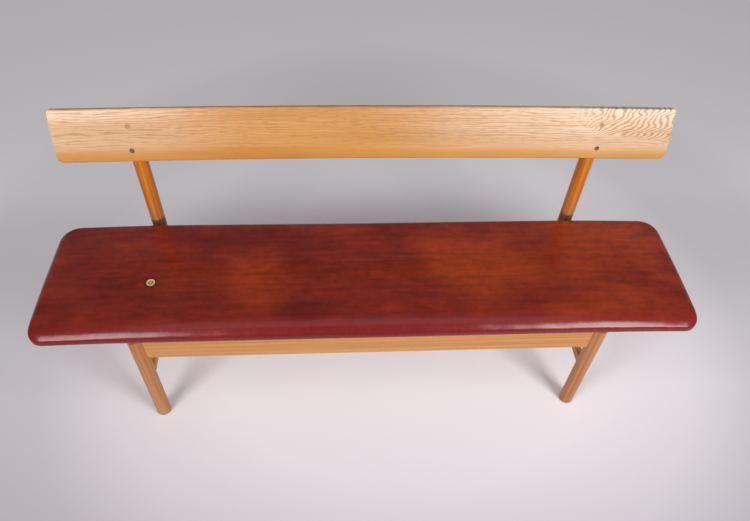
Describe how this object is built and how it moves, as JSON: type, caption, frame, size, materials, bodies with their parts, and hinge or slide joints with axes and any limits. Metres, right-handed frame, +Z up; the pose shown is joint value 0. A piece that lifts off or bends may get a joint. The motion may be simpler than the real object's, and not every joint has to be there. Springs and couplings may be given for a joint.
{
  "type": "bench",
  "caption": "Long oak bench: thin leather-covered seat on round legs and rails, low side stretchers, and a leaning plank backrest on the rear posts.",
  "frame": {"origin": "on the floor, under the middle of the bench's overall length and depth", "axes": "+X along the seat towards the right-hand end as seen from the front, +Y towards the back, +Z up"},
  "size_m": [1.61, 0.4141, 0.7277],
  "materials": {
    "oak": "satin",
    "dowel_wood": "satin",
    "plywood": "matte",
    "leather": "satin",
    "foam": "matte",
    "brass": "satin",
    "screw_steel": "satin"
  },
  "bodies": {
    "root": {"seat_board": "plywood", "seat_pad": "foam", "seat_cover": "leather", "brass_stud": "brass", "front_leg_left": "oak", "front_leg_right": "oak", "rear_leg_left": "oak", "rear_leg_right": "oak", "front_rail": "oak", "rear_rail": "oak", "centre_rail": "oak", "side_rail_left": "oak", "side_rail_right": "oak", "side_stretcher_left": "oak", "side_stretcher_right": "oak", "backrest": "oak", "backrest_dowels": "dowel_wood", "seat_screws": "screw_steel"}
  },
  "joints": []
}
